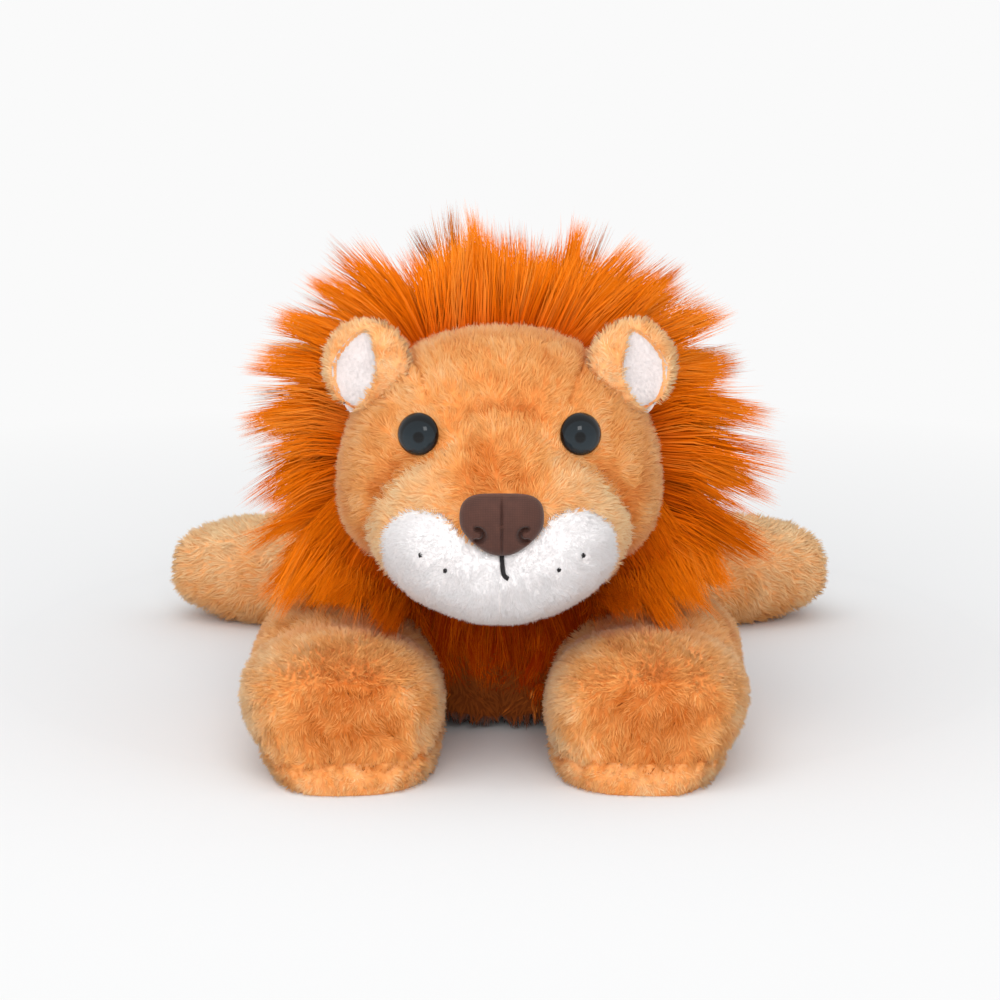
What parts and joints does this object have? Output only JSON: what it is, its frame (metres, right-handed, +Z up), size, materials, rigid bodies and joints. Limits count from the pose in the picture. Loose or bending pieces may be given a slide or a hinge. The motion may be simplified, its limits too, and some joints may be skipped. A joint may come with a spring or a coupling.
{
  "type": "plush lion",
  "caption": "Stuffed toy lion lying on its belly, with an orange mane, white muzzle, cupped ears, fat front paws and splayed hind legs.",
  "frame": {"origin": "on the floor, under the middle of the lion's length and width", "axes": "+Z up, the lion faces -Y, and its own left side is at +X"},
  "size_m": [0.272, 0.42, 0.19],
  "materials": {
    "tan_plush": "matte",
    "white_plush": "matte",
    "mane_pile": "matte",
    "nose_cloth": "matte",
    "thread": "matte",
    "eye_gloss": "gloss",
    "fibre": "matte",
    "washer_plastic": "satin"
  },
  "bodies": {
    "torso": {"torso_cover": "tan_plush", "torso_filling": "fibre", "mane_shoulder_left": "mane_pile", "mane_shoulder_right": "mane_pile", "mane_bib_left": "mane_pile", "mane_bib_right": "mane_pile", "mane_nape": "mane_pile"},
    "neck": {"neck_filling": "fibre"},
    "head": {"head_cover": "tan_plush", "head_filling": "fibre", "snout_cover": "tan_plush", "muzzle_filling": "fibre", "muzzle_pad_left": "white_plush", "muzzle_pad_right": "white_plush", "nose": "nose_cloth", "mouth_stitch": "thread", "whisker_stitch_1": "thread", "whisker_stitch_2": "thread", "whisker_stitch_3": "thread", "whisker_stitch_4": "thread", "eye_left": "eye_gloss", "eye_right": "eye_gloss", "eye_washer_left": "washer_plastic", "eye_washer_right": "washer_plastic", "mane_crown": "mane_pile", "mane_side_left": "mane_pile", "mane_side_right": "mane_pile"},
    "ear_left": {"ear_back_left": "tan_plush", "ear_lining_left": "white_plush"},
    "ear_right": {"ear_back_right": "tan_plush", "ear_lining_right": "white_plush"},
    "front_leg_left": {"front_leg_cover_left": "tan_plush", "front_leg_filling_left": "fibre", "paw_sole_left": "tan_plush"},
    "front_leg_right": {"front_leg_cover_right": "tan_plush", "front_leg_filling_right": "fibre", "paw_sole_right": "tan_plush"},
    "hind_leg_left": {"hind_leg_cover_left": "tan_plush", "hind_leg_filling_left": "fibre"},
    "hind_leg_right": {"hind_leg_cover_right": "tan_plush", "hind_leg_filling_right": "fibre"},
    "tail": {"tail_cover": "tan_plush", "tail_tuft": "mane_pile"}
  },
  "joints": [
    {"name": "neck_turn", "type": "hinge", "parent": "torso", "child": "neck", "pos_m": [0, -0.097, 0.08], "axis": [0, 0, 1], "range_deg": [-15, 15]},
    {"name": "head_nod", "type": "hinge", "parent": "neck", "child": "head", "pos_m": [0, -0.097, 0.08], "axis": [-1, 0, 0], "range_deg": [0, 12]},
    {"name": "front_leg_left_spread", "type": "hinge", "parent": "torso", "child": "front_leg_left", "pos_m": [0.042, -0.088, 0.023], "axis": [0, 0, 1], "range_deg": [-4, 20]},
    {"name": "front_leg_right_spread", "type": "hinge", "parent": "torso", "child": "front_leg_right", "pos_m": [-0.042, -0.088, 0.023], "axis": [0, 0, -1], "range_deg": [-4, 20]},
    {"name": "hind_leg_left_spread", "type": "hinge", "parent": "torso", "child": "hind_leg_left", "pos_m": [0.05, 0.036, 0.02], "axis": [0, 0, 1], "range_deg": [-12, 12]},
    {"name": "hind_leg_right_spread", "type": "hinge", "parent": "torso", "child": "hind_leg_right", "pos_m": [-0.05, 0.036, 0.02], "axis": [0, 0, -1], "range_deg": [-12, 12]},
    {"name": "tail_swing", "type": "hinge", "parent": "torso", "child": "tail", "pos_m": [0, 0.089, 0.02], "axis": [0, 0, 1], "range_deg": [-30, 30]},
    {"name": "ear_left_fold", "type": "hinge", "parent": "head", "child": "ear_left", "pos_m": [0.04166, -0.15496, 0.13603], "axis": [0.7154, 0.1521, -0.682], "range_deg": [0, 24], "stiffness_Nm_per_rad": 0.01},
    {"name": "ear_right_fold", "type": "hinge", "parent": "head", "child": "ear_right", "pos_m": [-0.04166, -0.15496, 0.13603], "axis": [0.7154, -0.1521, 0.682], "range_deg": [0, 24], "stiffness_Nm_per_rad": 0.01}
  ]
}
